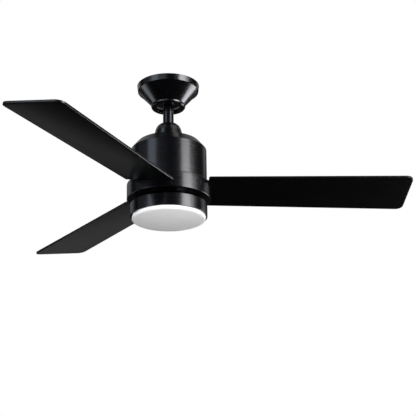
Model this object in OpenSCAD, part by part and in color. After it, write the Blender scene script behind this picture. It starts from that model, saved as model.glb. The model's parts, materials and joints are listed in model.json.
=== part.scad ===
// Three-blade ceiling fan with a flush LED light, hung on a short downrod.
// Millimetres. The origin is on the fan axis in the ceiling plane, +Z up; the fan hangs below it.

/* [Canopy] */
// Outer radius of the canopy rim at the ceiling
canopy_r = 73.6; // [73:0.1:75]
// Height of the rim band above the cone
canopy_rim_h = 14; // [12:0.5:15]
// Radius of the cone where it ends
canopy_neck_r = 38.8; // [38.6:0.1:39.4]
// Wall thickness of the spun shells
shell_t = 1.2; // [1:0.1:1.3]

/* [Downrod] */
// Outer radius of the rod, a one inch tube
rod_r = 12.7; // [12.6:0.1:12.9]
// Wall thickness of the rod
rod_wall = 1.7; // [1.2:0.1:2]

/* [Motor] */
// Outer radius of the motor housing
housing_r = 88.6; // [87.8:0.1:89]
// Radius of the flat top of the housing
housing_top_r = 72.8; // [70:0.1:76]
// Radius of the stator stack
stator_r = 58; // [56:0.5:58]
// Number of stator slots
stator_slots = 16; // [12, 16, 18]

/* [Hub band] */
// Outer radius of the turning hub band
band_r = 96.5; // [96:0.1:98]

/* [Blades] */
// Radius swept by the blade tips, half of 44 inches
blade_tip_r = 559; // [500:1:600]
// Half width of a blade at its root
blade_root_half = 62; // [58:1:64]
// Half width of a blade at its tip
blade_tip_half = 73; // [66:1:78]
// Thickness of a blade
blade_t = 5.2; // [4.5:0.1:5.6]
// Pitch of a blade about its own length, in degrees
blade_pitch = 10.7; // [8:0.1:11]

/* [Light kit] */
// Outer radius of the light pan
pan_r = 88.7; // [88.5:0.1:89.5]
// Outer radius of the lens wall
lens_r = 84.6; // [84.5:0.1:85]

/* [Hidden] */
$fn = 64;
eps = 0.01;

// Heights, all measured from the ceiling plane
bracket_t = 2;
ball_z = -27;
foot_top = -46.8;
foot_bottom = -48.8;
canopy_bottom = -50;
trim_top = -50.3;
trim_bottom = -57;
cover_top = -99;
cover_bottom = -147.7;
rod_top = -24;
rod_bottom = -140;
housing_top = -147.9;
housing_shoulder = -166.6;
housing_bottom = -251.6;
band_top = -250.5;
band_bottom = -289;
blade_z = -264.8;
flange_top = housing_top - 1.5;
flange_bottom = flange_top - 3.4;
shaft_top = -152;
shaft_bottom = -297;
adapter_top = -290.5;
pan_top = -300;
pan_bottom = -329.5;
lens_seat = -329.9;

// Hanger
ball_r = 27;
ball_gap = 0.3;
leg_in = 29;
leg_out = 31;
canopy_screw_x = 33;
stud_spacing = 88.9;
stud_slot_l = 14;
stud_slot_r = 2.6;
cross_pin_z = -30;
socket_top = -36;
socket_bottom = -44;
key_bottom = -41;
yoke_set_z = -117;
yoke_pin_z = -126;
shaft_lock_z = -163;
pin_r = 3;
pin_hole_r = 3.05;

// Receiver
case_half_x = 28;
case_half_y = 37;
case_low = -14.6;

// Motor
case_r = 76;
case_in = 73.5;
case_top = -196;
case_joint = -222;
case_bottom = -247;
hub_out = 24.5;
race_out = 20;
race_in = 17;
inner_race_out = 11.5;
ball_track_r = 14.25;
bearing_ball_r = 2.7;
shaft_r = 8.5;
shaft_bore = 5.5;
bearing_h = 12;
upper_bearing_z = -190;
lower_bearing_z = -257;
stack_top = -211;
stack_bottom = -233;

// Blades: x runs out along the blade, y across it
blade_angles = [0, 120, 240];
pad_half = 40;
tongue_half = 46;
tongue_in = 48;
shoulder_s = 90;
blade_screw_points = [[54, -24], [54, 24], [78, -28], [78, 28]];

// Light kit
standoff_r = 72;
plate_top = -314;
board_bottom = plate_top - 2.8;
lug_top = -322.2;
lug_bottom = -324.2;
tab_top = -324.5;
tab_bottom = -326;
slide_z = -308;

// ---------- shared shapes ----------

// Points along an arc, as a list of [x, y]
function arc(cx, cy, rx, ry, from, to, steps) =
    [for (i = [0:steps]) let (a = from + (to - from) * i / steps) [cx + rx * cos(a), cy + ry * sin(a)]];

// Plain tube between two heights
module tube(r_out, r_in, top, bottom) {
    translate([0, 0, bottom]) difference() {
        cylinder(r = r_out, h = top - bottom);
        translate([0, 0, -1]) cylinder(r = r_in, h = top - bottom + 2);
    }
}

// Solid rod between two heights
module rod(r, top, bottom) {
    translate([0, 0, bottom]) cylinder(r = r, h = top - bottom);
}

// Solid rod that stands at a distance from the axis
module rod_at(x, r, top, bottom) {
    translate([x, 0, bottom]) cylinder(r = r, h = top - bottom);
}

// Ring sector between two radii, two heights and two angles
module sector(r_in, r_out, top, bottom, from, to) {
    rotate([0, 0, from]) translate([0, 0, bottom])
        rotate_extrude(angle = to - from) translate([r_in, 0]) square([r_out - r_in, top - bottom]);
}

// Pan-head screw at the origin, head below z = 0 and shank above it, with a cross recess
module screw_up(shank_r, shank_l, head_r, head_h) {
    difference() {
        union() {
            translate([0, 0, -head_h]) cylinder(r1 = head_r * 0.8, r2 = head_r, h = head_h);
            translate([0, 0, -eps]) cylinder(r = shank_r, h = shank_l + eps);
        }
        for (a = [0, 90])
            rotate([0, 0, a]) translate([-head_r * 0.6, -0.4, -head_h - 1])
                cube([head_r * 1.2, 0.8, 1 + head_h / 2]);
    }
}

// The same screw the other way up, head above z = 0
module screw_down(shank_r, shank_l, head_r, head_h) {
    mirror([0, 0, 1]) screw_up(shank_r, shank_l, head_r, head_h);
}

// Puts its children in the frame of blade k: x along the blade, z through its thickness
module blade_frame(k) {
    rotate([0, 0, blade_angles[k]]) translate([0, 0, blade_z]) rotate([-blade_pitch, 0, 0]) children();
}

// Copies its children around the axis
module around(count, first = 0) {
    for (i = [0:count - 1]) rotate([0, 0, first + i * 360 / count]) children();
}

// ---------- ceiling side ----------

// One slot for an outlet-box screw
module stud_slot() {
    half = stud_slot_l / 2 - stud_slot_r;
    for (side = [-1, 1]) translate([side * half, 0, -bracket_t - 1]) cylinder(r = stud_slot_r, h = bracket_t + 2);
    translate([-half, -stud_slot_r, -bracket_t - 1]) cube([2 * half, 2 * stud_slot_r, bracket_t + 2]);
}

// Sphere shell sector used for the anti-turn tab and the groove that it runs in
module meridian_key(r_in, r_out, half_w) {
    intersection() {
        translate([0, 0, ball_z]) difference() {
            sphere(r = r_out);
            sphere(r = r_in);
        }
        translate([-half_w, 5, ball_z - 40]) cube([2 * half_w, 40, 80]);
    }
}

module hanger_bracket() {
    bar_l = 116;
    bar_w = 30;
    leg_w = 22;
    color("silver") {
        difference() {
            union() {
                translate([-bar_l / 2, -bar_w / 2, -bracket_t]) cube([bar_l, bar_w, bracket_t]);
                for (side = [0, 1]) mirror([side, 0, 0]) {
                    translate([leg_in, -leg_w / 2, foot_bottom]) cube([leg_out - leg_in, leg_w, -foot_bottom]);
                    translate([leg_out - eps, -5, foot_bottom]) cube([5.2, 10, foot_top - foot_bottom]);
                }
                rod(leg_out - 0.5, socket_top, socket_bottom);
            }
            translate([0, 0, ball_z]) sphere(r = ball_r + ball_gap);
            rod(20, socket_top + 1, socket_bottom - 1);
            translate([-13.8, -45, socket_bottom - 1]) cube([27.6, 45, socket_top - socket_bottom + 2]);
            for (side = [-1, 1]) {
                translate([side * stud_spacing / 2, 0, 0]) stud_slot();
                translate([side * canopy_screw_x, 0, foot_bottom - 1]) cylinder(r = 1.75, h = 4);
            }
            translate([0, 0, -bracket_t - 1]) cylinder(r = 10, h = bracket_t + 2);
            translate([leg_in - 1, 0, -20]) rotate([0, 90, 0]) cylinder(r = 1.65, h = 4);
        }
        intersection() {
            meridian_key(24.2, ball_r + ball_gap + 1, 1.8);
            rod(ball_r + 4, socket_top, key_bottom);
        }
    }
}

module canopy() {
    color("#1c1c1f") difference() {
        rotate_extrude() polygon([
            [canopy_r, 0], [canopy_r - 1.8, -canopy_rim_h + 0.6], [canopy_r - 2.4, -canopy_rim_h],
            [canopy_r - 3.9, -canopy_rim_h],
            [canopy_neck_r, canopy_bottom + 1], [canopy_neck_r - 0.5, canopy_bottom],
            [28.8, canopy_bottom], [28.8, canopy_bottom + shell_t],
            [canopy_neck_r - 1.6, canopy_bottom + shell_t],
            [canopy_r - 5.5, -canopy_rim_h], [canopy_r - 3.2, -canopy_rim_h + 1.4],
            [canopy_r - shell_t, 0]
        ]);
        for (side = [-1, 1])
            translate([side * canopy_screw_x, 0, canopy_bottom - 1]) cylinder(r = 2.2, h = 4);
    }
}

module canopy_screws() {
    color("silver") for (side = [-1, 1])
        translate([side * canopy_screw_x, 0, trim_top - 1.4]) screw_up(1.7, 6.5, 3, 2.2);
}

module receiver_case() {
    color("#2b2b2e") difference() {
        translate([-case_half_x, -case_half_y, case_low]) cube([2 * case_half_x, 2 * case_half_y, 9.6]);
        translate([-case_half_x + 1.5, -case_half_y + 1.5, case_low + 1.5])
            cube([2 * case_half_x - 3, 2 * case_half_y - 3, 10]);
        for (y = [-26, 26])
            translate([case_half_x - 3, y, -8]) rotate([0, 90, 0]) cylinder(r = 1.4, h = 5);
    }
}

module receiver_cover() {
    color("#2b2b2e") {
        translate([-case_half_x, -case_half_y, -5]) cube([2 * case_half_x, 2 * case_half_y, 3]);
        for (x = [-20, 0, 20]) translate([x - 1, -30, -5.8]) cube([2, 60, 0.9]);
    }
}

module receiver_board() {
    color("#2e6b3a") translate([-24, -33, -12.6]) cube([48, 66, 1.6]);
    color("#2e6b3a") for (p = [[-14, -20, 14, 10], [6, -24, 12, 16], [-16, 6, 10, 18], [4, 8, 16, 8]])
        translate([p[0], p[1], -11 - eps]) cube([p[2], p[3], 4]);
    color("#2e6b3a") for (y = [-26, 26]) translate([18, y - 3, -11 - eps]) cube([5, 6, 2]);
}

// Leads from the receiver to the house wires, each ending in a twist-on cap
module wire_connectors() {
    color("orange") for (y = [-26, 26]) {
        translate([23.2, y, -8]) rotate([0, 90, 0]) cylinder(r = 1.2, h = 17);
        translate([40, y, -10]) cylinder(r = 1.2, h = 2.4);
        translate([40, y, -8]) sphere(r = 1.35);
        translate([40, y, -26]) cylinder(r1 = 3.4, r2 = 5.4, h = 16);
    }
}

module ground_screw() {
    color("green") translate([leg_out, 0, -20]) rotate([0, -90, 0]) screw_up(1.6, 4, 3.6, 2);
}

// ---------- trim ring, turned off its two screws ----------

module canopy_trim_ring() {
    key_turn = 25;
    slot_half = 2.1;
    slot_end = 3.8;
    color("#1c1c1f") difference() {
        rotate_extrude() polygon([
            [41, trim_top], [40.8, -51.6], [39.2, -54], [38, -56.6], [37.5, trim_bottom],
            [27.5, trim_bottom], [27.5, trim_bottom + 1.2], [36.8, trim_bottom + 1.2],
            [37.9, -53.6], [39.4, -51.6], [39.5, trim_top - 1], [28.4, trim_top - 1], [28.4, trim_top]
        ]);
        for (side = [0, 180]) rotate([0, 0, side]) {
            sector(canopy_screw_x - slot_half, canopy_screw_x + slot_half, trim_top + 1, trim_top - 1.5,
                -key_turn, slot_end);
            rotate([0, 0, -key_turn]) translate([canopy_screw_x, 0, trim_top - 1.5]) cylinder(r = 3.5, h = 2.5);
        }
    }
}

// ---------- hanging side ----------

module hanger_ball() {
    color("#3a3a3d") difference() {
        translate([0, 0, ball_z]) sphere(r = ball_r);
        rod(40, 20, rod_top);
        rod(40, ball_z - 22, ball_z - 60);
        rod(rod_r + 0.05, 0, -60);
        translate([-40, 0, cross_pin_z]) rotate([0, 90, 0]) cylinder(r = pin_hole_r, h = 80);
        translate([0, 0, -38]) rotate([90, 0, 0]) cylinder(r = 2.55, h = 40);
        meridian_key(23.6, ball_r + 2, 2.4);
    }
}

module ball_cross_pin() {
    color("silver") translate([-24, 0, cross_pin_z]) rotate([0, 90, 0]) cylinder(r = pin_r, h = 48);
}

module ball_set_screw() {
    color("silver") translate([0, -rod_r - 0.05, -38]) rotate([90, 0, 0]) difference() {
        cylinder(r = 2.5, h = 10.6);
        translate([-0.5, -1.8, 9]) cube([1, 3.6, 3]);
    }
}

module downrod() {
    color("#1c1c1f") difference() {
        tube(rod_r, rod_r - rod_wall, rod_top, rod_bottom);
        for (z = [cross_pin_z, yoke_pin_z])
            translate([-20, 0, z]) rotate([0, 90, 0]) cylinder(r = pin_hole_r, h = 40);
    }
}

module coupling_cover() {
    color("#1c1c1f") rotate_extrude() polygon([
        [13.4, cover_top], [17, cover_top], [22.4, -101.4], [26.2, -105], [29.2, -110.6], [31.4, -118],
        [34.7, cover_bottom], [33.5, cover_bottom],
        [30.2, -118.2], [28.1, -111.2], [25.3, -106], [21.8, -102.6], [16.8, cover_top - 1.2],
        [13.4, cover_top - 1.2]
    ]);
}

module yoke_coupling() {
    color("#4a4a4d") difference() {
        rotate_extrude() polygon([
            [rod_r + 0.05, -112], [17.5, -112], [17.5, flange_top], [34, flange_top], [34, flange_bottom],
            [15, flange_bottom], [15, -172], [shaft_r + 0.05, -172], [shaft_r + 0.05, shaft_top],
            [7, shaft_top], [7, rod_bottom], [rod_r + 0.05, rod_bottom]
        ]);
        translate([-20, 0, yoke_pin_z]) rotate([0, 90, 0]) cylinder(r = pin_hole_r, h = 40);
        for (side = [0, 180]) rotate([0, 0, side])
            translate([0, 0, yoke_set_z]) rotate([90, 0, 0]) cylinder(r = 2.5, h = 30);
        translate([0, 0, shaft_lock_z]) rotate([90, 0, 0]) cylinder(r = 2.5, h = 30);
        around(4, 45) translate([25, 0, flange_bottom - 1]) cylinder(r = 1.65, h = 6);
    }
}

module yoke_pin() {
    color("silver") difference() {
        union() {
            translate([-20, 0, yoke_pin_z]) rotate([0, 90, 0]) cylinder(r = pin_r, h = 42);
            translate([-20, 0, yoke_pin_z]) rotate([0, 90, 0]) cylinder(r = 4.8, h = 1.8);
        }
        translate([19.6, 0, yoke_pin_z - 6]) cylinder(r = 0.95, h = 12);
    }
}

// Hairpin clip: a straight leg through the pin and an eye above it
module yoke_cotter() {
    color("silver") {
        translate([19.6, 0, yoke_pin_z - 6]) cylinder(r = 0.9, h = 12);
        translate([19.6, 0, yoke_pin_z + 7.6]) rotate([0, 90, 0])
            rotate_extrude() translate([2, 0]) circle(r = 0.9);
    }
}

module yoke_set_screws() {
    color("silver") {
        for (side = [0, 180]) rotate([0, 0, side])
            translate([0, -rod_r - 0.05, yoke_set_z]) rotate([90, 0, 0]) cylinder(r = 2.45, h = 6.6);
        translate([0, -shaft_r - 0.05, shaft_lock_z]) rotate([90, 0, 0]) cylinder(r = 2.45, h = 8);
    }
}

module motor_shaft() {
    color("silver") tube(shaft_r, shaft_bore, shaft_top - 0.05, shaft_bottom);
}

module motor_housing() {
    wall = 1.4;
    color("#1c1c1f") difference() {
        rotate_extrude() polygon([
            [19, housing_top], [housing_top_r - 1, housing_top], [housing_top_r, housing_top - 0.5],
            [housing_r, housing_shoulder], [housing_r, housing_bottom],
            [housing_r - wall, housing_bottom], [housing_r - wall, housing_shoulder - 0.4],
            [housing_top_r - 0.8, housing_top - wall], [19, housing_top - wall]
        ]);
        around(4, 45) translate([25, 0, housing_top - 3]) cylinder(r = 2.1, h = 5);
    }
}

module housing_screws() {
    color("silver") around(4, 45) translate([25, 0, housing_top]) screw_down(1.6, 4.6, 3, 2);
}

// ---------- motor ----------

module stator_core() {
    slot_w = 6;
    gap_w = 2;
    color("#8a8a8d") difference() {
        tube(stator_r, shaft_r + 0.05, stack_top, stack_bottom);
        around(stator_slots) {
            translate([38, -slot_w / 2, stack_bottom - 1]) cube([15, slot_w, 24]);
            translate([50, -gap_w / 2, stack_bottom - 1]) cube([12, gap_w, 24]);
        }
    }
}

// Copper in the slots, joined above and below the stack by the end turns
module stator_windings() {
    color("#b06a34") {
        tube(53, 38.4, stack_top + 5.4, stack_top + 0.2);
        tube(53, 38.4, stack_bottom - 0.2, stack_bottom - 5.4);
        around(stator_slots)
            translate([38.6, -2.7, stack_bottom - 1]) cube([13.6, 5.4, 24]);
    }
}

// Groove that the balls run in
module ball_track(z) {
    translate([0, 0, z]) rotate_extrude() translate([ball_track_r, 0]) circle(r = bearing_ball_r + 0.12);
}

module inner_race(z) {
    color("#b8b8bc") difference() {
        tube(inner_race_out + 1, shaft_r + 0.03, z + bearing_h / 2, z - bearing_h / 2);
        ball_track(z);
    }
}

module outer_race(z) {
    color("#b8b8bc") difference() {
        tube(race_out, race_in - 1, z + bearing_h / 2, z - bearing_h / 2);
        ball_track(z);
    }
}

module bearing_balls(z) {
    color("#d8d8dc") around(8) translate([ball_track_r, 0, z]) sphere(r = bearing_ball_r);
    color("#d8d8dc") tube(ball_track_r + 0.5, ball_track_r - 0.5, z + 1, z - 1);
}

module upper_inner_race() { inner_race(upper_bearing_z); }
module lower_inner_race() { inner_race(lower_bearing_z); }
module upper_outer_race() { outer_race(upper_bearing_z); }
module lower_outer_race() { outer_race(lower_bearing_z); }
module upper_bearing_balls() { bearing_balls(upper_bearing_z); }
module lower_bearing_balls() { bearing_balls(lower_bearing_z); }

module rotor_case_upper() {
    color("#6a6a6d") difference() {
        rotate_extrude() polygon([
            [13.5, -182.4], [hub_out, -182.4], [hub_out, case_top], [case_r, case_top],
            [case_r, case_joint + 1.5], [82, case_joint + 1.5], [82, case_joint],
            [case_in, case_joint], [case_in, case_top - 2.5], [race_out + 0.05, case_top - 2.5],
            [race_out + 0.05, -183.9], [13.5, -183.9]
        ]);
        around(6, 30) translate([79, 0, case_joint - 1]) cylinder(r = 1.55, h = 4);
    }
}

module rotor_case_lower() {
    color("#6a6a6d") difference() {
        rotate_extrude() polygon([
            [case_in, case_joint], [82, case_joint], [82, case_joint - 1.5], [case_r, case_joint - 1.5],
            [case_r, case_bottom], [hub_out, case_bottom], [hub_out, -264.6], [13.5, -264.6],
            [13.5, -263.1], [race_out + 0.05, -263.1], [race_out + 0.05, case_bottom + 3],
            [case_in, case_bottom + 3]
        ]);
        around(6, 30) translate([79, 0, case_joint - 3]) cylinder(r = 1.55, h = 4);
        for (k = [0:2], y = [-11, 11])
            rotate([0, 0, blade_angles[k]]) translate([66, y, case_bottom - 1]) cylinder(r = 1.8, h = 5);
        around(3, 60) translate([58, 0, case_bottom - 1]) cylinder(r = 1.8, h = 5);
    }
}

// Laminated ring with its cast bars, turning just outside the stator
module rotor_ring() {
    color("#9a9a9d") difference() {
        tube(case_in - 0.05, stator_r + 0.6, stack_top, stack_bottom);
        around(24) translate([66, 0, stack_bottom - 1]) cylinder(r = 2, h = 24);
    }
}

module case_screws() {
    color("silver") around(6, 30) translate([79, 0, case_joint - 1.5]) screw_up(1.5, 4, 2.6, 1.6);
}

// ---------- hub and blades ----------

module hub_band() {
    color("#1c1c1f") difference() {
        union() {
            tube(band_r, band_r - 1.3, band_top, band_bottom);
            tube(band_r - 0.5, housing_r + 1, band_top, band_top - 1.3);
            tube(band_r - 0.5, 52, band_bottom + 1.4, band_bottom);
            around(3, 60) translate([58, 0, band_bottom]) cylinder(r = 4.5, h = case_bottom - band_bottom);
        }
        for (k = [0:2]) blade_frame(k) translate([80, -47.5, -3.6]) cube([22, 95, 7.2]);
        around(3, 60) translate([58, 0, band_bottom - 1]) cylinder(r = 1.8, h = 60);
    }
}

module band_screws() {
    color("silver") around(3, 60) translate([58, 0, band_bottom]) screw_up(1.75, 44, 3, 1.2);
}

// Blade bracket: a foot on the motor case, a web, and a pitched pad over the blade's tongue
module blade_bracket(k) {
    color("#55555a") {
        difference() {
            union() {
                rotate([0, 0, blade_angles[k]]) {
                    translate([42, -16, case_bottom - 2.25]) cube([32, 32, 2.2]);
                    translate([50, -6, -260.9]) cube([28, 12, 260.9 + case_bottom - 1]);
                }
                blade_frame(k) translate([46, -pad_half, blade_t / 2]) cube([40, 2 * pad_half, 2.5]);
            }
            rotate([0, 0, blade_angles[k]]) for (y = [-11, 11])
                translate([66, y, case_bottom - 4]) cylinder(r = 1.8, h = 6);
            blade_frame(k) for (p = blade_screw_points) translate([p[0], p[1], 0]) cylinder(r = 1.8, h = 6);
        }
    }
}

module blade_bracket_1() { blade_bracket(0); }
module blade_bracket_2() { blade_bracket(1); }
module blade_bracket_3() { blade_bracket(2); }

module bracket_screws() {
    color("silver") for (k = [0:2], y = [-11, 11])
        rotate([0, 0, blade_angles[k]]) translate([66, y, case_bottom - 2.25]) screw_up(1.75, 5, 3.2, 1.8);
}

// Half width of the blade at a distance from the fan axis
function half_width(s) =
    blade_root_half + (blade_tip_half - blade_root_half) * (s - shoulder_s) / (blade_tip_r - shoulder_s);

module blade_outline() {
    tip_corner = 17;
    root_corner = 4;
    tip_y = half_width(blade_tip_r - tip_corner) - tip_corner;
    root_y = blade_root_half - root_corner;
    half = concat(
        [[tongue_in, -tongue_half], [shoulder_s, -tongue_half]],
        arc(shoulder_s + root_corner, -root_y, root_corner, root_corner, 180, 270, 6),
        arc(blade_tip_r - tip_corner, -tip_y, tip_corner, tip_corner, -90, 0, 12)
    );
    upper = [for (i = [len(half) - 1:-1:0]) [half[i][0], -half[i][1]]];
    polygon(concat(half, upper));
}

module blade(k) {
    color("#232323") blade_frame(k) difference() {
        translate([0, 0, -blade_t / 2]) linear_extrude(height = blade_t) blade_outline();
        for (p = blade_screw_points) translate([p[0], p[1], -blade_t]) cylinder(r = 2.3, h = 2 * blade_t);
    }
}

module blade_1() { blade(0); }
module blade_2() { blade(1); }
module blade_3() { blade(2); }

module blade_screws() {
    color("silver") for (k = [0:2]) blade_frame(k)
        for (p = blade_screw_points) translate([p[0], p[1], -blade_t / 2]) screw_up(1.75, blade_t + 2.4, 3.8, 2);
}

// ---------- light kit ----------

// Plate clamped on the shaft, with the neck that the light pan hangs from
module light_adapter() {
    color("#2a2a2c") difference() {
        rotate_extrude() polygon([
            [shaft_r + 0.05, adapter_top], [50, adapter_top], [60, -293], [60, pan_top], [40, pan_top],
            [40, pan_top + 1.5], [57.5, pan_top + 1.5], [57.5, -294], [49, adapter_top - 2],
            [shaft_r + 0.05, adapter_top - 2]
        ]);
        around(3, 90) translate([50, 0, pan_top - 1]) cylinder(r = 1.8, h = 4);
    }
}

module shaft_nut() {
    color("silver") difference() {
        rod(12, adapter_top - 2, adapter_top - 6.4);
        rod(shaft_r + 0.03, adapter_top, adapter_top - 8);
        for (a = [0:60:300]) rotate([0, 0, a]) translate([10.8, -10, adapter_top - 8]) cube([4, 20, 8]);
    }
}

module light_pan() {
    wall = 1.2;
    color("#1c1c1f") difference() {
        union() {
            rotate_extrude() polygon([
                [14, pan_top], [pan_r - 0.6, pan_top], [pan_r, pan_top - 0.6], [pan_r, pan_bottom + 1.2],
                [pan_r - 0.8, pan_bottom], [pan_r - 2.7, pan_bottom], [pan_r - 2.7, pan_bottom + 1.2],
                [pan_r - wall, pan_bottom + 1.2], [pan_r - wall, pan_top - wall], [14, pan_top - wall]
            ]);
            for (a = [0, 120, 240]) sector(pan_r - 3.8, pan_r - wall + 0.3, tab_top, tab_bottom, a - 9, a + 9);
            around(3, 30) rod_at(standoff_r, 3, pan_top - wall + eps, plate_top);
        }
        around(3, 90) translate([50, 0, pan_top - 3]) cylinder(r = 1.8, h = 5);
        around(3, 30) translate([standoff_r, 0, plate_top - 1]) cylinder(r = 1.3, h = 9);
        translate([-6, pan_r - 6, slide_z - 2.3]) cube([12, 8, 4.6]);
    }
}

module light_pan_screws() {
    color("silver") around(3, 90) translate([50, 0, pan_top - 1.2]) screw_up(1.75, 5.5, 3.4, 2);
}

module run_capacitor() {
    color("#d8d8d4") translate([-20, 57, pan_top - 12.4]) cube([40, 15, 11.2]);
}

module led_driver() {
    color("#e2e2de") {
        translate([-31, -54, pan_top - 12.6]) cube([62, 24, 11.4]);
        for (x = [-36, 31 - eps]) translate([x, -46, pan_top - 2.8]) cube([5 + eps, 8, 1.6]);
    }
}

module led_plate() {
    color("#e8e8e6") difference() {
        rod(78, plate_top, plate_top - 1.2);
        rod(6, plate_top + 1, plate_top - 3);
        around(3, 30) translate([standoff_r, 0, plate_top - 3]) cylinder(r = 1.6, h = 5);
    }
}

module led_plate_screws() {
    color("silver") around(3, 30) translate([standoff_r, 0, plate_top - 1.2]) screw_up(1.25, 7, 2.6, 1.4);
}

module led_board() {
    color("#f2f2f0") tube(66, 8, plate_top - 1.2, board_bottom);
}

module led_chips() {
    color("#f4e27a") {
        around(18) translate([56 - 1.5, -1.5, board_bottom - 0.8]) cube([3, 3, 0.8]);
        around(12, 15) translate([34 - 1.5, -1.5, board_bottom - 0.8]) cube([3, 3, 0.8]);
    }
}

// Straight leads through the rod and the hollow shaft
module supply_leads() {
    color("white") for (x = [-1.1, 1.1], y = [-4.2, 4.2])
        translate([x, y, -302.6]) cylinder(r = 0.95, h = 278);
}

// Plug halves on both ends of the leads
module lead_plugs() {
    color("#efe9d8") {
        translate([-4.5, -6, -24.6]) cube([9, 12, 5.6]);
        translate([-6, -6, -311.5]) cube([12, 12, 8.9]);
    }
}

// Frosted drum lens with a collar and three lugs that turn in over the pan's tabs
module lens() {
    wall = 2;
    round_x = 14;
    round_z = 4.8;
    side_bottom = -333;
    edge_stop = -70;
    edge_r = lens_r - round_x + round_x * cos(edge_stop);
    edge_z = side_bottom + round_z * sin(edge_stop);
    crown = 4.7;
    color("white") {
        rotate_extrude() polygon([
            [pan_r - 4.6, lug_top], [pan_r - 4.6, lens_seat], [lens_r, lens_seat],
            for (p = arc(lens_r - round_x, side_bottom, round_x, round_z, 0, edge_stop, 7)) p,
            for (share = [0.85:-0.17:0]) [edge_r * share, edge_z - crown * (1 - share * share)],
            for (share = [0:0.17:0.85]) [edge_r * share, edge_z + wall - crown * (1 - share * share)],
            for (p = arc(lens_r - round_x, side_bottom, round_x - wall, round_z - wall, edge_stop, 0, 7)) p,
            [pan_r - 6.6, lens_seat + 1], [pan_r - 6.6, lug_top]
        ]);
        for (a = [0, 120, 240]) sector(pan_r - 5, pan_r - 2.2, lug_top, lug_bottom, a - 7, a + 7);
    }
}

module reverse_switch_body() {
    color("#e6e6e2") difference() {
        translate([-10, 76, slide_z - 4.6]) cube([20, 8.4, 9.2]);
        translate([-5.5, 79, slide_z - 1.8]) cube([11, 6, 3.6]);
    }
}

module reverse_switch_knob() {
    color("#e6e6e2") {
        translate([-5, 80, slide_z - 1.4]) cube([3, 10, 2.8]);
        for (x = [-5, -3.8, -2.6]) translate([x, 90 - eps, slide_z - 1.4]) cube([0.6, 0.5, 2.8]);
    }
}

hanger_bracket();
canopy();
canopy_screws();
receiver_case();
receiver_cover();
receiver_board();
wire_connectors();
ground_screw();
canopy_trim_ring();
hanger_ball();
ball_cross_pin();
ball_set_screw();
downrod();
coupling_cover();
yoke_coupling();
yoke_pin();
yoke_cotter();
yoke_set_screws();
motor_shaft();
motor_housing();
housing_screws();
stator_core();
stator_windings();
upper_inner_race();
lower_inner_race();
upper_bearing_balls();
lower_bearing_balls();
upper_outer_race();
lower_outer_race();
rotor_case_upper();
rotor_case_lower();
rotor_ring();
case_screws();
hub_band();
band_screws();
blade_bracket_1();
blade_bracket_2();
blade_bracket_3();
bracket_screws();
blade_1();
blade_2();
blade_3();
blade_screws();
light_adapter();
shaft_nut();
light_pan();
light_pan_screws();
run_capacitor();
led_driver();
led_plate();
led_plate_screws();
led_board();
led_chips();
supply_leads();
lead_plugs();
lens();
reverse_switch_body();
reverse_switch_knob();
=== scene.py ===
import json
import math

import bmesh
import bpy
from mathutils import Matrix, Vector


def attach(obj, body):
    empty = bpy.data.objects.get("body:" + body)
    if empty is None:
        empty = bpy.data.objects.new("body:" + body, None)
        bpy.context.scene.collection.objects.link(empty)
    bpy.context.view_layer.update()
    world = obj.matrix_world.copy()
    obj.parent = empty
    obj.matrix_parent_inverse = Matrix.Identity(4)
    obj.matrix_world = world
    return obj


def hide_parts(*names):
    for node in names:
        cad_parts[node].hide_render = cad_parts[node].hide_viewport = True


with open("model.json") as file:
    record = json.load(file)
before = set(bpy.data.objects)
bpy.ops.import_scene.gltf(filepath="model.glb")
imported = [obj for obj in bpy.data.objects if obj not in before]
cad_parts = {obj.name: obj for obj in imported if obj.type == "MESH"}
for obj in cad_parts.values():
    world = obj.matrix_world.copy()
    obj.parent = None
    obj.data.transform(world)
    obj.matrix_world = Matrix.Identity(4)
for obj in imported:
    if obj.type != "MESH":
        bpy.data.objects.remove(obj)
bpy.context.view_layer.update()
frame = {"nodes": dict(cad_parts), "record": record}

# Shapes are in millimetres, in the CAD model's frame: the ceiling is at height 0 and the fan hangs below it.
# The camera, the lights and the materials are in metres.
MM = 0.001
SEGMENTS = 160
ARC_STEPS = 14
ROUNDING_STEPS = 5
SHEET = 1.2
THIRDS = (0, 120, 240)

# ---------------------------------------------------------------- camera

# The camera stands below the fan and looks up at it.
CAMERA_AT = Vector((-0.0844, -2.5191, -1.2009))
AIM_AT = Vector((0.0, 0.0, -0.29045))
CAMERA_YAW = math.radians(1.930)
CAMERA_PITCH = math.radians(-0.331)
CAMERA_ROLL = math.radians(-0.248)
LENS_MM = 100.87


def turned(first, second, angle):
    """Two directions at right angles, turned in their own plane from the first towards the second."""
    return (first * math.cos(angle) + second * math.sin(angle),
            second * math.cos(angle) - first * math.sin(angle))


def make_camera():
    """Aims at the fan's centre, then turns by the small yaw, pitch and roll of the framing."""
    forward = (AIM_AT - CAMERA_AT).normalized()
    right = forward.cross(Vector((0, 0, 1))).normalized()
    up = right.cross(forward)
    forward, right = turned(forward, right, CAMERA_YAW)
    forward, up = turned(forward, up, CAMERA_PITCH)
    right, up = turned(right, up, CAMERA_ROLL)
    data = bpy.data.cameras.new("camera")
    data.lens = LENS_MM
    data.sensor_width = 36
    data.clip_start = 0.05
    data.clip_end = 60
    camera = bpy.data.objects.new("camera", data)
    camera.matrix_world = Matrix((
        (right.x, up.x, -forward.x, CAMERA_AT.x),
        (right.y, up.y, -forward.y, CAMERA_AT.y),
        (right.z, up.z, -forward.z, CAMERA_AT.z),
        (0, 0, 0, 1)))
    bpy.context.scene.collection.objects.link(camera)
    bpy.context.scene.camera = camera


# ---------------------------------------------------------------- studio light

LIT_POINT = Vector((0, 0, -0.22))
LIGHT_DISTANCE = 3.0
AMBIENT = 0.006

WHITE = (1.0, 1.0, 1.0)
SOFT_WHITE = (1.0, 1.0, 0.98)
PALE_BLUE = (0.86, 0.92, 1.0)


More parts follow.
